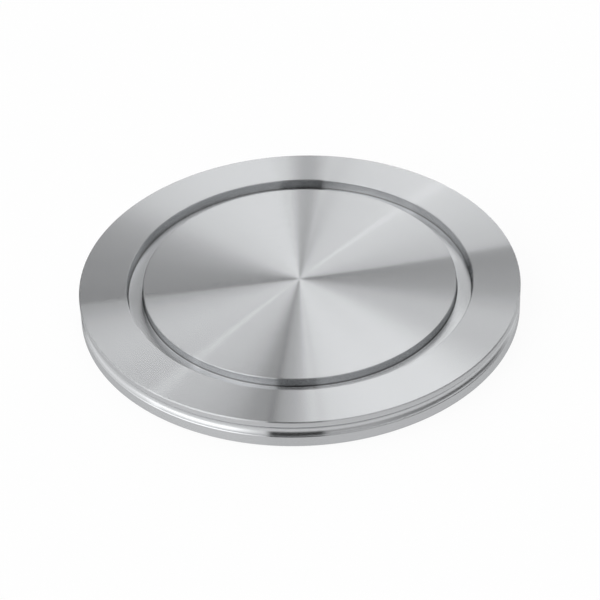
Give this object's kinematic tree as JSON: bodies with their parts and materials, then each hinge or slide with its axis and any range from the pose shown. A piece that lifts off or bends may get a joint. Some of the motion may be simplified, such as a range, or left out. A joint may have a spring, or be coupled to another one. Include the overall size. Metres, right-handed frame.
{
  "type": "vacuum blank flange",
  "caption": "Flat round blank flange for large vacuum fittings, with a centring recess, a flat disc in the middle and a grooved two-lip rim for clamps.",
  "frame": {"origin": "centre of the flat back face, on the axis", "axes": "+Z along the axis, out of the sealing face; X and Y lie in the back face"},
  "size_m": [0.13, 0.13, 0.009],
  "materials": {
    "turned_steel": "fine-turned, with concentric tool marks"
  },
  "bodies": {
    "root": {"blank_flange": "turned_steel"}
  },
  "joints": []
}
